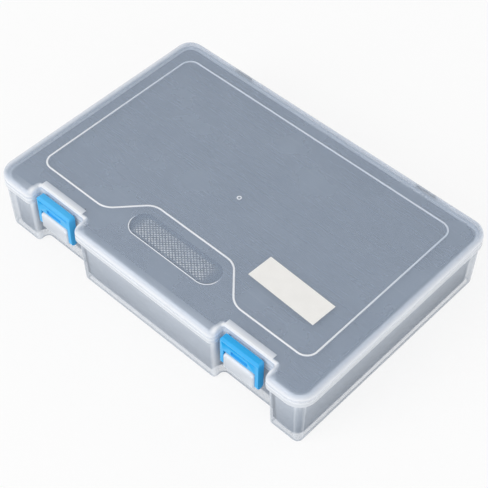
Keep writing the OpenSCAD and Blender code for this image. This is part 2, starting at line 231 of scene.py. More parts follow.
base_inner = inset(inset(inset(rim, wall), tongue_gap), tongue_w)
foot = inset(wall_top, draft)
rings = [inset(foot, foot_r * (1 - math.sin(a)), foot_r * (1 - math.cos(a)))
         for a in np.radians(np.arange(0, 91, 15))]
for t in np.linspace(0.25, 0.9, 5):
    rings.append(inset(foot, -t * draft, t * rim_z))
rings += [inset(wall_top, 0.02 * MM, rim_z - 0.3 * MM), inset(wall_top, -0.3 * MM, rim_z)]
rings += [inset(rim, 0.3 * MM, rim_z), inset(rim, 0.08 * MM, rim_z + 0.1 * MM)]
rings += [inset(rim, 0, rim_z + t * MM) for t in (0.3, 0.8, 1.9, 2.2)]
rings += [inset(rim, 0.12 * MM, part_z - 0.12 * MM), inset(rim, 0.4 * MM, part_z)]
tongue = inset(inset(rim, wall), tongue_gap)
rings += [inset(tongue, 0, part_z), inset(tongue, 0, part_z + tongue_h - tongue_edge)]
rings += [inset(tongue, tongue_edge, part_z + tongue_h), inset(base_inner, 0, part_z + tongue_h)]
rings += [inset(base_inner, 0, rim_z)]
well = inset(base_inner, draft)
rings += [inset(well, well_r * (1 - math.cos(a)), floor_t + well_r * (1 - math.sin(a)))
          for a in np.radians([0, 30, 60, 90])]
base_shell = shell("base_shell", rings)

# Lugs: the latches' pips turn in sockets in their ends.
leg_r = 1.6 * MM
latch_inset = 2.2 * MM
pivot_y = front + latch_inset + leg_r
pivot_z = part_z - 11 * MM
lug_half = 7.7 * MM
lug_face = -leg_r - 0.7 * MM
lug_root = 0.8 * MM
lug_back = front + 6.8 * MM + lug_root - pivot_y
lug_low, lug_high = -1.9 * MM, 6.8 * MM
lug_edge = 1.1 * MM
lug_corners = np.array([0.8, 0.8, 2.2, 2.2]) * MM
lug_least_r = 0.25 * MM
socket_r, socket_l = 1.05 * MM, 1.35 * MM
past = 1 * MM


def lug_bar(middle):
    """A bar with rounded ends: its front view, a rounded rectangle, is carried along Y and
    shrinks at the front by an edge radius times one minus the cosine of an angle."""
    turns = np.radians([0, 18, 36, 54, 72, 90])
    stations = [(lug_back, 0.0)]
    stations += [(lug_face + lug_edge * (1 - math.sin(a)), lug_edge * (1 - math.cos(a)))
                 for a in turns]
    loops = []
    for y, t in stations:
        x, low, high = lug_half - t, lug_low + t, lug_high - t
        radii = np.maximum(lug_corners - t * 0.6, lug_least_r)
        flat = rounded(np.array([(-x, low), (x, low), (x, high), (-x, high)]), radii, 6)
        loops.append(np.column_stack([flat[:, 0] + middle, np.full(len(flat), y + pivot_y),
                                      flat[:, 1] + pivot_z]))
    bands, first, last = bands_and_ends(loops)
    obj = mesh_object("lug", np.concatenate(loops), bands + [first, last[::-1]])
    outwards(obj)
    return obj


# Ears: each pair holds one hinge pin, with a notch in the rim between them for the lid's arm.
hinge_x = 50 * MM
ear_r, ear_l, ear_gap = 2 * MM, 5 * MM, 0.3 * MM
ear_bore_r = 1.0 * MM
web_in = 2.9 * MM
side_gap = 0.15 * MM
notch_in, notch_drop = 2.15 * MM, 0.3 * MM
knuckle_half = 5 * MM
hinge_y = case_w / 2 - wall_inset + ear_gap + ear_r
hinge_z = rim_z
for side in (-1, 1):
    middle = side * latch_x
    combine(base_shell, lug_bar(middle), "UNION")
    for end in (-1, 1):
        socket = bar("socket", circle(pivot_y, pivot_z, socket_r),
                     middle + end * lug_half - end * socket_l, middle + end * (lug_half + past))
        combine(base_shell, socket, "DIFFERENCE")
    for end in (-1, 1):
        x0 = side * hinge_x + end * (knuckle_half + side_gap)
        x1 = x0 + end * ear_l
        web = [(hinge_y - web_in, hinge_z - ear_r), (hinge_y, hinge_z - ear_r),
               (hinge_y, hinge_z + ear_r), (hinge_y - web_in, hinge_z + ear_r)]
        combine(base_shell, bar("web", web, x0, x1), "UNION")
        combine(base_shell, bar("ear", circle(hinge_y, hinge_z, ear_r), x0, x1), "UNION")
        bore = bar("bore", circle(hinge_y, hinge_z, ear_bore_r), x0 - end * past, x1 + end * past)
        combine(base_shell, bore, "DIFFERENCE")
    notch = [(hinge_y - notch_in, hinge_z - notch_drop), (hinge_y + ear_r, hinge_z - notch_drop),
             (hinge_y + ear_r, part_z + past), (hinge_y - notch_in, part_z + past)]
    span = knuckle_half + side_gap
    combine(base_shell, bar("notch", notch, side * hinge_x - span, side * hinge_x + span),
            "DIFFERENCE")
base_shell.data.set_sharp_from_angle(angle=math.radians(40))


def near(value, middle, width):
    """A smooth hump: 1 in the middle, falling as a normal curve of the given width."""
    return np.exp(-((value - middle) / width) ** 2)


def base_milk_and_highlights(p, m, n):
    """Walls are thin, and grow denser up to the rim band; the floor and ears are thick. Painted
    highlights are added as extra density: lines at the rim band's lower and upper edges, stripes at
    both ends of each rounded corner's curve, and the recess mouths. The lugs are thick, with
    painted highlights along their upper and lower edges and ends and painted shade across their
    middle."""
    # The peaks of 1.0 at the rim band's lower and upper edges are painted highlight lines.
    value = np.interp(p[:, 2], [0, 0.8, 2.5, 20, 24.6, 25.1, 25.8, 26.9, 27.3, 28.8],
                      [0.42, 0.32, 0.16, 0.2, 0.36, 1.0, 0.82, 0.82, 1.0, 0.95])
    low = (m[:, 2] < 24.9) & (np.abs(n[:, 2]) < 0.6)
    # Painted highlights: two bright stripes down each rounded corner, where its curve starts and
    # ends.
    turn = np.degrees(np.arctan2(np.abs(p[:, 1]) - 50.8, np.abs(p[:, 0]) - 77.3))
    corner = low & (np.abs(p[:, 0]) > 76.8) & (np.abs(p[:, 1]) > 50.3)
    value += corner * 0.42 * (near(turn, 14, 8) + 0.8 * near(turn, 76, 8))
    latch_at = latch_x / MM
    off = p[:, 0] - np.sign(p[:, 0]) * latch_at
    # Painted highlights on the rounded edge of each recess mouth.
    mouth = near(off, -13.2, 1.1) + near(off, 15.2, 1.1)
    value += low * (p[:, 1] < -51) * 0.55 * mouth
    # Painted highlight along the lug's upper and lower edges and its ends, and painted shade across
    # its middle, so that it looks rounded.
    lug_highlight_and_shade = np.interp(p[:, 2], [14.7, 15.6, 17.2, 21.2, 22.3, 23.4],
                     [0.95, 0.62, 0.5, 0.58, 0.9, 1.0])
    lug = ((np.abs(np.abs(m[:, 0]) - latch_at) < 7.8) & (m[:, 1] < -49.3) & (m[:, 1] > -56.5)
           & (m[:, 2] > 14.4) & (m[:, 2] < 23.6))
    value = np.where(lug, lug_highlight_and_shade + 0.2 * (np.abs(off) > 6.4), value)
    value = np.where((m[:, 2] < 1.7) & (np.abs(n[:, 2]) > 0.9), 1.0, value)
    return np.where(m[:, 1] > 54.9, np.maximum(value, 0.75), value)


set_milk_and_highlight(base_shell, base_milk_and_highlights)


def link(tree, a, out, b, into):
    """Joins an output of one shader node to an input of another."""
    tree.links.new(a.outputs[out], b.inputs[into])


def node(tree, kind, **values):
    """A shader node with its sockets and settings filled in."""
    made = tree.nodes.new(kind)
    for key, value in values.items():
        if key in made.inputs:
            made.inputs[key].default_value = value
        else:
            setattr(made, key, value)
    return made


def start_finish(name):
    """A new material, with its node tree, its shader and its coordinates."""
    mat = bpy.data.materials.new(name)
    mat.use_nodes = True
    tree = mat.node_tree
    return mat, tree, tree.nodes["Principled BSDF"], node(tree, "ShaderNodeTexCoord")


def pattern(tree, place, kind, **values):
    """A texture laid on Object coordinates."""
    made = node(tree, kind, **values)
    link(tree, place, "Object", made, "Vector")
    return made


def stretched(tree, place, scale, turn, detail, roughness=0.5):
    """Cloudy noise on Object coordinates, scaled along each axis and turned about Z."""
    spin = pattern(tree, place, "ShaderNodeMapping")
    spin.inputs["Rotation"].default_value = (0, 0, turn)
    spin.inputs["Scale"].default_value = scale
    made = node(tree, "ShaderNodeTexNoise", Scale=1.0, Detail=detail, Roughness=roughness)
    link(tree, spin, "Vector", made, "Vector")
    return made


def spread(tree, source, out, low, high, start=0.0, end=1.0):
    """Maps the part of a value from start to end onto low to high."""
    made = node(tree, "ShaderNodeMapRange")
    made.inputs["From Min"].default_value = start
    made.inputs["From Max"].default_value = end
    made.inputs["To Min"].default_value = low
    made.inputs["To Max"].default_value = high
    link(tree, source, out, made, "Value")
    return made


def two_tone(tree, source, out, first, second):
    """A colour that goes from first to second as a value goes from 0 to 1."""
    made = node(tree, "ShaderNodeMix", data_type="RGBA")
    made.inputs["A"].default_value = (*first, 1)
    made.inputs["B"].default_value = (*second, 1)
    link(tree, source, out, made, "Factor")
    return made


def raised(tree, source, out, skin, strength, distance):
    """Lets a pattern stand proud of the surface."""
    bump = node(tree, "ShaderNodeBump", Strength=strength, Distance=distance)
    link(tree, source, out, bump, "Height")
    link(tree, bump, "Normal", skin, "Normal")


def milky_plastic(name, thin, thick, tint, dense_tint, rough, cloudy=0.05, coat=0.25):
    """Milky polypropylene: see-through where a wall is thin and denser where it is thick, and
    whiter where highlights are painted in as density, with cloudy flow marks, a fine mould grain
    and faint rub marks."""
    mat, tree, skin, place = start_finish(name)
    skin.inputs["IOR"].default_value = 1.49
    skin.inputs["Coat Weight"].default_value = coat
    skin.inputs["Coat Roughness"].default_value = 0.12
    # This per-corner density also carries the painted highlights.
    dense = node(tree, "ShaderNodeAttribute", attribute_name="milk_and_highlight")
    cloud = pattern(tree, place, "ShaderNodeTexNoise", Scale=45.0, Detail=4.0, Roughness=0.55)
    flow = spread(tree, cloud, "Fac", -cloudy, cloudy)
    level = node(tree, "ShaderNodeMath", operation="ADD", use_clamp=True)
    link(tree, dense, "Fac", level, 0)
    link(tree, flow, "Result", level, 1)
    alpha = spread(tree, level, "Value", thin, thick)
    link(tree, alpha, "Result", skin, "Alpha")
    colour = two_tone(tree, level, "Value", tint, dense_tint)
    link(tree, colour, 2, skin, "Base Color")
    rub = stretched(tree, place, (60, 1500, 300), 0.6, 5.0, 0.7)
    gloss = spread(tree, rub, "Fac", rough, rough + 0.05, 0.35, 0.7)
    link(tree, gloss, "Result", skin, "Roughness")
    grain = pattern(tree, place, "ShaderNodeTexNoise", Scale=1400.0, Detail=3.0)
    raised(tree, grain, "Fac", skin, 0.012, 0.00004)
    return mat


base_plastic = milky_plastic("milky_base", 0.25, 0.9, (0.47, 0.56, 0.69), (0.9, 0.93, 0.97),
                             0.28, coat=0.05)
base_shell.data.materials.clear()
base_shell.data.materials.append(base_plastic)
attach(base_shell, "base")
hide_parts("base")

# ---------------------------------------------------------------------------
# Lid shell. The same milky plastic, moulded as a shallow tray with a rounded top
# edge, a ledge and a small ridge at each latch, an arm with a knuckle for each
# hinge, and a dish for the fingers sunk near its front edge.
# ---------------------------------------------------------------------------
seam = 0.1 * MM
lid_edge = 3 * MM
lid_z = part_z + seam
lid_inner = inset(rim, wall)
ceiling_r = lid_edge - wall
rings = [inset(lid_inner, ceiling_r * (1 - math.cos(a)),
               case_h - wall - ceiling_r * (1 - math.sin(a)))
         for a in np.radians([90, 60, 30, 0])]
rings += [inset(lid_inner, 0, lid_z), inset(rim, 0.3 * MM, lid_z)]
rings += [inset(rim, 0.09 * MM, lid_z + 0.1 * MM), inset(rim, 0, lid_z + 0.3 * MM)]
rings += [inset(rim, 0, lid_z + 0.65 * MM), inset(rim, 0, lid_z + 1.05 * MM)]
for a in np.radians(np.arange(0, 91, 9)):
    t, s = lid_edge * (1 - math.cos(a)), (1 - math.cos(a)) * MM
    rings.append(np.array([
        case_h - lid_edge * (1 - math.sin(a)), t, 6.4 * MM + 0.4 * s, 11.65 * MM + s,
        8 * MM - 1.5 * t, 2.5 * MM - 0.7 * s, 1.2 * MM]))
for t in (0.4, 0.8):
    rings.append(inset(rings[-1], t * MM))
lid_shell = shell("lid_shell", rings)

ledge_front, ledge_back, ledge_t = 3.9 * MM, 7.1 * MM, 1.4 * MM
ledge_reach = 7.85 * MM - 0.4 * MM
ridge_half = 11.65 * MM
arm_half, arm_rise = 1.85 * MM, 5 * MM
knuckle_bore_r = 1.05 * MM
for side in (-1, 1):
    middle = side * latch_x
    ledge = [(front + ledge_front, lid_z), (front + ledge_back, lid_z),
             (front + ledge_back, lid_z + ledge_t), (front + ledge_front, lid_z + ledge_t)]
    combine(lid_shell, bar("ledge", ledge, middle - ledge_reach, middle + ledge_reach), "UNION")
    ridge = np.array([(7.0, 31.7), (10.0, 31.7), (9.7, 32.3), (7.3, 32.3)]) * MM
    ridge[:, 0] += front
    combine(lid_shell, bar("ridge", ridge, middle - ridge_half, middle + ridge_half), "UNION")
    x0, x1 = side * hinge_x - knuckle_half, side * hinge_x + knuckle_half
    arm = [(hinge_y - arm_half, hinge_z), (hinge_y + arm_half, hinge_z),
           (case_w / 2, hinge_z + arm_rise), (hinge_y - arm_half, hinge_z + arm_rise)]
    combine(lid_shell, bar("arm", arm, x0, x1), "UNION")
    combine(lid_shell, bar("knuckle", circle(hinge_y, hinge_z, ear_r), x0, x1), "UNION")
    bore = bar("bore", circle(hinge_y, hinge_z, knuckle_bore_r), x0 - past, x1 + past)
    combine(lid_shell, bore, "DIFFERENCE")

dish_y = front + 20.1 * MM
dish_half, dish_r, dish_d = 23 * MM, 6 * MM, 0.8 * MM
dish_lean = 1.6 * MM
dish_straight = dish_half - dish_r


def dish_cutter():
    """Loops with round ends, from above the lid to the dish's floor. With t from 0 at the rim
    to 1 at the floor, the radius loses t squared, and the depth is 1 - (1 - t) squared."""
    a = np.linspace(0, 2 * math.pi, 96, endpoint=False)
    loops = []
    for t in (-0.12, 0.0, 0.06, 0.15, 0.3, 0.5, 0.75, 1.0):
        r = dish_r - dish_lean * t ** 2 if t > 0 else dish_r
        z = case_h - dish_d * (1 - (1 - t) ** 2) if t > 0 else case_h - dish_d * t * 4
        x = r * np.cos(a) + np.sign(np.round(np.cos(a), 6)) * dish_straight
        loops.append(np.column_stack([x, dish_y + r * np.sin(a), np.full(len(a), z)]))
    bands, first, last = bands_and_ends(loops)
    obj = mesh_object("dish", np.concatenate(loops), bands + [first, last[::-1]])
    outwards(obj)
    return obj


combine(lid_shell, dish_cutter(), "DIFFERENCE")
lid_shell.data.set_sharp_from_angle(angle=math.radians(38))


def lid_milk_and_highlights(p, m, n):
    """The skirt is dense and the flat top thin, with the change over the rounded edge; the bright
    lines at the skirt's lower and upper edges are painted highlights. The ridges are dense, and
    painted lighter towards the front as a highlight. The recess edges, the flared ends where the
    skirt turns in, and the left and back edges of the lid, where light shines through, are painted
    highlights, given as extra density."""
    x, y, z = p.T
    latch_at = latch_x / MM
    rise = np.clip((z - 29) / 3, 0, 1)
    # The peaks at the skirt's lower and upper edges are painted highlight lines.
    value = np.interp(z, [27.7, 28.0, 28.4, 28.8, 29.3], [1.0, 0.95, 0.68, 0.7, 0.98])
    value = np.where(z > 29.3, 1.0 - 0.88 * rise ** 1.6, value)
    off = x - np.sign(x) * latch_at
    # Painted highlights on the rounded corners where each recess's edge flares out into the skirt.
    flare_highlight = ((near(off, -12.6, 1.7) + near(off, 14.4, 1.5)) * near(y, -53.4, 3.2)
             + 0.6 * (near(off, -12.2, 1.1) + near(off, 13.9, 1.1)) * near(y, -49.4, 1.4))
    value = np.where(z > 29, np.maximum(value, flare_highlight), value)
    # Painted highlight along the rounded top edge over each recess.
    edge = (z > 31.2) & (off > -12.4) & (off < 14.2) & (y < -48.6) & (y > -50.2)
    value = np.where(edge, 1.0, value)
    # The ridge is painted lighter at the front and darker behind, a painted highlight.
    ridge = ((m[:, 2] > 32.02) & (np.abs(m[:, 1] + 47.5) < 1.9)
             & (np.abs(np.abs(m[:, 0]) - latch_at) < 12.3))
    value = np.where(ridge, np.interp(y, [-49, -47.8, -46], [1.0, 0.8, 0.5]), value)
    in_dish = ((np.abs(m[:, 0]) < 23.2) & (np.abs(m[:, 1] + 35.9) < 6.2) & (m[:, 2] > 31)
               & (n[:, 2] > 0))
    value = np.where(in_dish & (z < 31.99), 0.0, value)
    under = (n[:, 2] < -0.3) & (m[:, 2] > 29)
    value = np.where(under, 0.0, value)
    # Painted highlight along the lid's left and back edges, where light shines through them.
    far_edge_highlight = np.maximum(near(x, -82.6, 3.3), 0.75 * near(y, 56.1, 1.8)) * (n[:, 2] > -0.3)
    value = np.where(z > 29, np.maximum(value, far_edge_highlight), value)
    flat_top = ((n[:, 2] > 0.99) & (m[:, 2] > 31.9) & (np.abs(m[:, 0]) < 70)
                & (m[:, 1] > -46) & (m[:, 1] < 50))
    value = np.where(flat_top & (z > 31.99), 0.12, value)
    return np.where(m[:, 1] > 55.6, np.maximum(value, 0.8), value)


set_milk_and_highlight(lid_shell, lid_milk_and_highlights)
lid_plastic = milky_plastic("milky_lid", 0.23, 0.92, (0.61, 0.74, 0.93), (0.93, 0.95, 0.99),
                            0.24)
lid_shell.data.materials.clear()
lid_shell.data.materials.append(lid_plastic)
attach(lid_shell, "lid")
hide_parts("lid")

# ---------------------------------------------------------------------------
# Raised line on the lid. A low rounded bead of the lid's own plastic, moulded
# round the flat top and stepped back in front round the finger dish.
# ---------------------------------------------------------------------------
line_corners = np.array([(-71.5, -40.3), (-34.8, -40.3), (-21.4, -25.6), (21.4, -25.6),
                         (34.8, -40.3), (71.5, -40.3), (71.5, 45), (-71.5, 45)]) * MM
line_radii = np.array([5, 9, 8, 8, 9, 5, 5, 5]) * MM
line_w, line_h = 0.8 * MM, 0.28 * MM
bead_z = case_h + 0.02 * MM


def sideways(path_step):
    """The unit normal, to the right of each step along a path."""
    ahead = path_step / np.linalg.norm(path_step, axis=1, keepdims=True)
    return np.column_stack([ahead[:, 1], -ahead[:, 0]])


def bead(name, path, width, height, z, milk_and_highlight):
    """A half round carried along a closed path: each point moves out along the path's own
    normal by the cosine of an angle and up by its sine."""
    normal = sideways(np.roll(path, -1, axis=0) - np.roll(path, 1, axis=0))
    a = np.linspace(-0.25, math.pi + 0.25, 11)
    out = np.cos(a) * width / 2
    up = np.sin(a) * height
    xy = path[:, None] + normal[:, None] * out[None, :, None]
    level = np.broadcast_to((z + up)[None, :, None], xy.shape[:2] + (1,))
    points = np.concatenate([xy, level], axis=2)
    rows, columns = xy.shape[:2]
    i, j = np.meshgrid(np.arange(rows), np.arange(columns), indexing="ij")
    n, m = (i + 1) % rows, (j + 1) % columns
    quads = np.stack([i * columns + j, n * columns + j, n * columns + m, i * columns + m], axis=-1)
    obj = mesh_object(name, points.reshape(-1, 3), quads.reshape(-1, 4).tolist(),
                      np.repeat(np.broadcast_to(milk_and_highlight, rows), columns), sharp=60)
    outwards(obj)
    return obj


line_path = rounded(line_corners, line_radii, 12)
# The bead is painted whiter at the front, fading towards the back, as a painted highlight.
line_milk_and_highlight = np.interp(line_path[:, 1] / MM, [-42, -24, 0, 42, 45], [1.0, 0.95, 0.66, 0.5, 0.62])
lid_line = bead("lid_line", line_path, line_w, line_h, bead_z, line_milk_and_highlight)
lid_line.data.materials.append(lid_plastic)
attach(lid_line, "lid")

# ---------------------------------------------------------------------------
# Gate mark. The small ring left in the middle of the lid, of the lid's own
# plastic, where the melt entered the mould.
# ---------------------------------------------------------------------------
gate_r, gate_w, gate_h = 0.8 * MM, 0.45 * MM, 0.15 * MM
a = np.linspace(0, 2 * math.pi, 48, endpoint=False)
gate_ring = bead("gate_ring", np.column_stack([np.cos(a), np.sin(a)]) * gate_r, gate_w, gate_h,
                 bead_z, 1.0)
gate_ring.data.materials.append(lid_plastic)
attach(gate_ring, "lid")

# ---------------------------------------------------------------------------
# Finger grip. The dish's floor is cut by the mould into small four-sided points, and a fine crisp
# edge runs along the dish's front and round its ends. Both are part of the lid's moulding. The
# edge's whiteness and the lighter front half of the points are painted highlights.
# ---------------------------------------------------------------------------
grip_reach, grip_pitch, grip_slope, grip_h = 0.88, 1.7 * MM, 1.1, 0.42 * MM
grip_end, grip_fade, grip_shift = 20.6 * MM, 3.6 * MM, 0.4 * MM


def dish_grid(rows, columns, reach):
    """Points of a stadium: columns along its middle line, rows across, narrowed to a
    half circle at both ends. Returns x, y and the distance from the rim, from 0 to 1."""
    a = np.linspace(-1, 1, columns)[None, :]
    v = np.linspace(-1, 1, rows)[:, None]
    x = np.sin(a * math.pi / 2) * dish_half * reach + 0 * v
    over = np.maximum(np.abs(x) - dish_straight, 0)
    width = np.sqrt(np.maximum((dish_r * reach) ** 2 - over ** 2, (0.02 * MM) ** 2))
    y = v * width
    away = np.hypot(over, y) / dish_r
    return x, y, 1 - away


def grid_faces(rows, columns):
    """The four corners of each cell of a grid of points, row by row."""
    i, j = np.meshgrid(np.arange(rows - 1), np.arange(columns - 1), indexing="ij")
    k = (i * columns + j).reshape(-1)
    return np.column_stack([k, k + 1, k + columns + 1, k + columns])


# Two sets of slanting lines cross, and a point stands in each cell: its height is the distance to
# the nearer line. Each cell's own share of density comes from its number, and the dish's front half
# is painted denser and whiter as a highlight.
x, y, depth = dish_grid(90, 300, grip_reach)
u, v = (x + y * grip_slope) / grip_pitch, (x - y * grip_slope) / grip_pitch
peak = np.minimum(np.abs(u - np.round(u)), np.abs(v - np.round(v))) * 2
fade = (np.clip((depth - 0.14) / 0.2, 0, 1)
        * np.clip((grip_end - np.abs(x + grip_shift)) / grip_fade, 0, 1))
z = case_h - dish_d + 0.03 * MM + peak * fade * grip_h
cell = (np.round(u) * 12.9898 + np.round(v) * 78.233)
vary = np.mod(np.sin(cell) * 43758.5453, 1)
# The front half of the dish is painted denser and whiter, a painted highlight.
front_highlight = 0.5 - 0.5 * y / dish_r
grip_milk_and_highlight = fade * (0.08 + np.clip((peak - 0.18) / 0.4, 0, 1)
                    * (0.16 + 0.3 * vary + 0.42 * front_highlight))
points = np.column_stack([x.reshape(-1), (y + dish_y).reshape(-1), z.reshape(-1)])
finger_grip = mesh_object("finger_grip", points, grid_faces(*x.shape).tolist(),
                          grip_milk_and_highlight.reshape(-1), sharp=25)
grip_plastic = milky_plastic("milky_grip", 0.0, 0.85, (0.66, 0.74, 0.84), (0.92, 0.92, 0.93),
                             0.3, cloudy=0.0)
finger_grip.data.materials.append(grip_plastic)
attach(finger_grip, "lid")

# The crisp edge: half a round bead on an open path, thinner and lower towards its ends. It is
# painted white along the front as a highlight, fading towards its ends.
edge_w, edge_h = 0.2 * MM, 0.12 * MM
around = np.linspace(-200, 20, 120)
a = np.radians(around)
edge_path = np.column_stack([
    dish_r * np.cos(a) + np.where(around < -90, -dish_straight, dish_straight),
    dish_y + dish_r * np.sin(a)])
strength = np.clip(np.minimum((around + 205) / 35, (24 - around) / 40), 0, 1)
side_way = sideways(np.gradient(edge_path, axis=0))
b = np.linspace(-0.3, math.pi + 0.3, 9)
thin = edge_w * (0.4 + 0.6 * strength)
xy = edge_path[:, None] + side_way[:, None] * (np.cos(b)[None, :] * thin[:, None])[..., None]
height = case_h - 0.01 * MM + edge_h * np.sin(b)[None, :] * strength[:, None]
points = np.concatenate([xy, height[..., None]], axis=2)
dish_edge_highlight = mesh_object("dish_edge_highlight", points.reshape(-1, 3),
                        grid_faces(*height.shape)[:, [0, 3, 2, 1]].tolist(),
                        np.repeat(strength * 0.95, height.shape[1]), sharp=60)
outwards(dish_edge_highlight)
dish_edge_highlight.data.materials.append(lid_plastic)
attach(dish_edge_highlight, "lid")

# ---------------------------------------------------------------------------
# Latches. Two hard blue mouldings that swing on pips in the lugs' ends and hook
# over the lid's ledges. Their edges are slightly rounded by the mould, and a fine
# groove runs across the face under its bevel.
# ---------------------------------------------------------------------------
latch_round = 0.18 * MM
groove_up = 11.9 * MM
groove_h = 0.3 * MM
groove_left, groove_right = 8.6 * MM, 7.6 * MM


def softened(name, source, width):
    """A merged copy of a frame node with its flat faces joined and its edges rounded."""
    mesh = source.data.copy()
    bm = bmesh.new()
    bm.from_mesh(mesh)
    bmesh.ops.remove_doubles(bm, verts=bm.verts, dist=1e-6)
    bmesh.ops.dissolve_limit(bm, angle_limit=math.radians(0.5), verts=bm.verts, edges=bm.edges)
    bmesh.ops.recalc_face_normals(bm, faces=bm.faces)
    bm.to_mesh(mesh)
    bm.free()
    mesh.materials.clear()
    obj = bpy.data.objects.new(name, mesh)
    bpy.context.collection.objects.link(obj)
    edge = obj.modifiers.new("edge", "BEVEL")
    edge.width = width
    edge.segments = 3
    edge.limit_method = "ANGLE"
    edge.angle_limit = math.radians(30)
    baked(obj)
    obj.data.polygons.foreach_set("use_smooth", np.ones(len(obj.data.polygons), dtype=bool))
    obj.data.set_sharp_from_angle(angle=math.radians(35))
    return obj


def blue_plastic():
    """Solid blue plastic with cloudy pigment, a fine grain and paler rubbed edges."""
    mat, tree, skin, place = start_finish("latch_blue")
    skin.inputs["IOR"].default_value = 1.5
    skin.inputs["Specular IOR Level"].default_value = 0.25
    cloud = pattern(tree, place, "ShaderNodeTexNoise", Scale=220.0, Detail=5.0)
    pigment = two_tone(tree, cloud, "Fac", (0.006, 0.36, 0.8), (0.014, 0.43, 0.88))
    edge = node(tree, "ShaderNodeNewGeometry")
    rub = spread(tree, edge, "Pointiness", 0.0, 0.3, 0.5, 0.62)
    worn = two_tone(tree, rub, "Result", (0, 0, 0), (0.2, 0.62, 0.96))
    link(tree, pigment, 2, worn, "A")
    link(tree, worn, 2, skin, "Base Color")
    gloss = spread(tree, cloud, "Fac", 0.28, 0.44)
    link(tree, gloss, "Result", skin, "Roughness")
    grain = pattern(tree, place, "ShaderNodeTexNoise", Scale=2600.0, Detail=2.0)
    raised(tree, grain, "Fac", skin, 0.12, 0.00008)
    return mat


latch_blue = blue_plastic()
for name, middle in (("latch_left", -latch_x), ("latch_right", latch_x)):
    piece = softened(name + "_moulding", nodes[name], latch_round)
    face_y, groove_z = front + latch_inset, pivot_z + groove_up
    groove = [(face_y - past, groove_z), (face_y + 0.16 * MM, groove_z),
              (face_y + 0.02 * MM, groove_z + groove_h), (face_y - past, groove_z + groove_h)]
    combine(piece, bar("groove", groove, middle - groove_left, middle + groove_right),
            "DIFFERENCE")
    piece.data.set_sharp_from_angle(angle=math.radians(35))
    piece.data.materials.append(latch_blue)
    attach(piece, name)
    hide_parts(name)

# ---------------------------------------------------------------------------
# Hinge pins. Two short lengths of drawn steel wire, pressed into the base's
# ears; the lid's knuckles turn on them. Only their ends show.
# ---------------------------------------------------------------------------
def drawn_steel():
    """Steel wire with fine lines along it and a little dulling."""
    mat, tree, skin, place = start_finish("pin_steel")
    skin.inputs["Metallic"].default_value = 1.0
    lines = stretched(tree, place, (150, 6000, 6000), 0, 3.0)
    shade = two_tone(tree, lines, "Fac", (0.42, 0.43, 0.45), (0.68, 0.69, 0.71))
    link(tree, shade, 2, skin, "Base Color")
    gloss = spread(tree, lines, "Fac", 0.22, 0.42)
    link(tree, gloss, "Result", skin, "Roughness")
    raised(tree, lines, "Fac", skin, 0.1, 0.00005)
    return mat


pin_steel = drawn_steel()
for name in ("hinge_pin_left", "hinge_pin_right"):
    nodes[name].data.materials.clear()
    nodes[name].data.materials.append(pin_steel)

# ---------------------------------------------------------------------------
# Foam fill. A plain floor layer and a layer with cut-outs for small tools lie in
# the base, and a thin pad is stuck under the lid. All are firm dark closed-cell
# sheet, cut by blade, so fine cells show and the cut edges are a little soft.
# ---------------------------------------------------------------------------
foam_round = 0.35 * MM


def cut_foam(name, dark, light):
    """Closed-cell foam: small round cells, cloudy colour and no shine."""
    mat, tree, skin, place = start_finish(name)
    skin.inputs["Specular IOR Level"].default_value = 0.25
    skin.inputs["Sheen Weight"].default_value = 0.12
    skin.inputs["Sheen Roughness"].default_value = 0.6
    cells = pattern(tree, place, "ShaderNodeTexVoronoi", Scale=1500.0)
    cloud = pattern(tree, place, "ShaderNodeTexNoise", Scale=90.0, Detail=5.0)
    blend = node(tree, "ShaderNodeMath", operation="MULTIPLY")
    link(tree, cells, "Distance", blend, 0)
    link(tree, cloud, "Fac", blend, 1)
    shade = two_tone(tree, blend, "Value", dark, light)
    link(tree, shade, 2, skin, "Base Color")
    rough = spread(tree, cloud, "Fac", 0.75, 0.95)
    link(tree, rough, "Result", skin, "Roughness")
    raised(tree, cells, "Distance", skin, 0.25, 0.00006)
    return mat


foam_dark = cut_foam("foam_dark", (0.008, 0.01, 0.016), (0.035, 0.042, 0.06))
pad_dark = cut_foam("pad_dark", (0.01, 0.014, 0.024), (0.045, 0.055, 0.08))
for name, body, slot, mat in (("foam_floor", "base", "dark_foam", foam_dark),
                              ("foam_insert", "base", "dark_foam", foam_dark),
                              ("lid_pad", "lid", "dark_pad", pad_dark)):
    piece = softened(name + "_sheet", nodes[name], foam_round)
    piece.data.materials.append(mat)
    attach(piece, body)
    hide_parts(name)

# ---------------------------------------------------------------------------
# Label. A strip of white tape stuck on the lid, left bare here. Its surface has
# a faint swell where it bridges the plastic, and a soft gloss.
# ---------------------------------------------------------------------------
label_l, label_h, label_t = 33.5 * MM, 12.2 * MM, 0.12 * MM
label_at = np.array([46.0, -20.6]) * MM
label_turn = math.radians(-2.4)
swell_h = 0.02 * MM
s, t = np.meshgrid(np.linspace(-1, 1, 68), np.linspace(-1, 1, 26), indexing="xy")
rows, columns = s.shape
edge = np.minimum(1 - np.abs(s), 1 - np.abs(t) * 0.9)
swell = swell_h * np.sin(s * 2.1 + 0.4) * np.cos(t * 1.7) * np.clip(edge * 3, 0, 1)
flat = np.column_stack([(s * label_l / 2).reshape(-1), (t * label_h / 2).reshape(-1)])
spin = np.array([[math.cos(label_turn), math.sin(label_turn)],
                 [-math.sin(label_turn), math.cos(label_turn)]])
flat = flat @ spin + label_at
top = np.column_stack([flat, (case_h + label_t - 0.02 * MM + swell).reshape(-1)])
under = np.column_stack([flat, np.full(len(flat), case_h + 0.01 * MM)])
face = grid_faces(rows, columns)
border = np.concatenate([np.arange(columns - 1), np.arange(rows - 1) * columns + columns - 1,
                         np.arange(rows * columns - 1, (rows - 1) * columns, -1),
                         np.arange((rows - 1) * columns, 0, -columns)])
next_border = np.roll(border, -1)
count = rows * columns
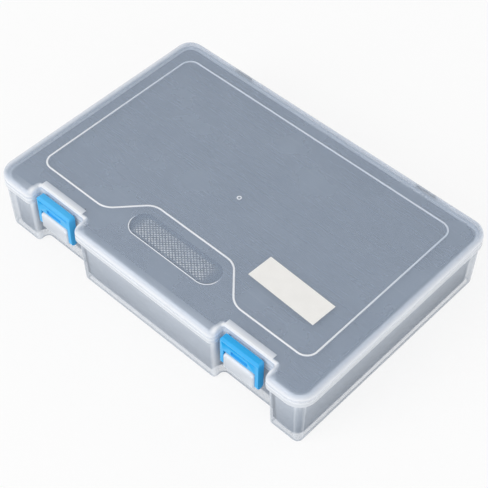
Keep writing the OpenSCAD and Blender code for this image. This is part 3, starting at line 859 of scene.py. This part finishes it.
sides = np.column_stack([border, border + count, next_border + count, next_border])
label_tape = mesh_object("label_tape", np.concatenate([top, under]),
                         np.concatenate([face, face[:, ::-1] + count, sides]).tolist())


def tape_white():
    """Glossy white tape with a faint fibre tone and softly uneven gloss."""
    mat, tree, skin, place = start_finish("tape_white")
    cloud = pattern(tree, place, "ShaderNodeTexNoise", Scale=260.0, Detail=6.0)
    shade = two_tone(tree, cloud, "Fac", (0.86, 0.85, 0.825), (0.93, 0.92, 0.895))
    link(tree, shade, 2, skin, "Base Color")
    gloss = spread(tree, cloud, "Fac", 0.35, 0.55)
    link(tree, gloss, "Result", skin, "Roughness")
    raised(tree, cloud, "Fac", skin, 0.15, 0.00005)
    return mat


label_tape.data.materials.append(tape_white())
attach(label_tape, "lid")
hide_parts("label")

# ---------------------------------------------------------------------------
# Floor, lamps and camera. A white sweep curves up behind the case, with soft lamps
# in front, at the right and behind. The camera stands at the front right corner
# and looks well down.
# ---------------------------------------------------------------------------
sweep_half = 3.0
sweep = np.array([(-3.0, 0.0), (0.9, 0.0), (1.3, 0.12), (1.5, 0.5), (1.55, 2.5)])
floor_points = [np.column_stack([np.full(len(sweep), x), sweep]) for x in (-sweep_half, sweep_half)]
floor = mesh_object("floor", np.concatenate(floor_points),
                    [[k, 5 + k, 6 + k, k + 1] for k in range(len(sweep) - 1)])
white = bpy.data.materials.new("studio_white")
white.use_nodes = True
paint = white.node_tree.nodes["Principled BSDF"]
paint.inputs["Base Color"].default_value = (0.9, 0.9, 0.9, 1)
paint.inputs["Roughness"].default_value = 0.9
paint.inputs["Specular IOR Level"].default_value = 0.1


def white_to_the_eye(tree, plain, strength):
    """Mixes a plain white of strength 1 into a shader, for what the camera sees directly,
    in a gloss or through a clear piece; other light still meets the plain shader."""
    path = node(tree, "ShaderNodeLightPath")
    seen = node(tree, "ShaderNodeMath", operation="MAXIMUM")
    link(tree, path, "Is Camera Ray", seen, 0)
    link(tree, path, "Is Glossy Ray", seen, 1)
    either = node(tree, "ShaderNodeMath", operation="MAXIMUM")
    link(tree, seen, "Value", either, 0)
    link(tree, path, "Is Transmission Ray", either, 1)
    share = node(tree, "ShaderNodeMath", operation="MULTIPLY")
    link(tree, either, "Value", share, 0)
    share.inputs[1].default_value = strength
    glow = node(tree, "ShaderNodeBackground" if plain.type == "BACKGROUND"
                else "ShaderNodeEmission", Color=(1, 1, 1, 1), Strength=1.0)
    mix = node(tree, "ShaderNodeMixShader")
    link(tree, share, "Value", mix, 0)
    link(tree, plain, 0, mix, 1)
    link(tree, glow, 0, mix, 2)
    end = next(n for n in tree.nodes if n.type in ("OUTPUT_MATERIAL", "OUTPUT_WORLD"))
    link(tree, mix, 0, end, "Surface")


white_to_the_eye(white.node_tree, paint, 0.84)
floor.data.materials.append(white)

world = bpy.data.worlds.new("studio")
bpy.context.scene.world = world
world.use_nodes = True
sky = world.node_tree.nodes["Background"]
sky.inputs["Color"].default_value = (1, 1, 1, 1)
sky.inputs["Strength"].default_value = 0.62
white_to_the_eye(world.node_tree, sky, 1.0)


def softbox(name, place, size, power):
    """A square area lamp aimed at the case."""
    lamp = bpy.data.lights.new(name, "AREA")
    lamp.size = size
    lamp.energy = power
    obj = bpy.data.objects.new(name, lamp)
    obj.location = place
    aim = Vector(place) - Vector((0, 0, 0.02))
    obj.rotation_euler = aim.to_track_quat("Z", "Y").to_euler()
    bpy.context.collection.objects.link(obj)


softbox("key", (-0.45, -1.15, 0.75), 0.9, 8)
softbox("fill", (1.15, -0.55, 0.6), 0.9, 3)
softbox("back", (0.25, 1.3, 0.65), 0.8, 3.5)

azimuth, elevation, roll = math.radians(42.612), math.radians(49.7), math.radians(0.577)
target = Vector((17.7, -16.2, 32.0)) * MM
distance = 509.7 * MM
back = Vector((math.sin(azimuth) * math.cos(elevation), -math.cos(azimuth) * math.cos(elevation),
               math.sin(elevation)))
right = Vector((math.cos(azimuth), math.sin(azimuth), 0))
up = back.cross(right)
right, up = (math.cos(roll) * right + math.sin(roll) * up,
             math.cos(roll) * up - math.sin(roll) * right)
camera_data = bpy.data.cameras.new("camera")
camera_data.sensor_width = 36
camera_data.lens = 98.07
camera_data.clip_start = 0.01
camera = bpy.data.objects.new("camera", camera_data)
place = target + back * distance
camera.matrix_world = Matrix(((right.x, up.x, back.x, place.x), (right.y, up.y, back.y, place.y),
                              (right.z, up.z, back.z, place.z), (0, 0, 0, 1)))
bpy.context.collection.objects.link(camera)
bpy.context.scene.camera = camera
bpy.context.scene.view_settings.view_transform = "Standard"
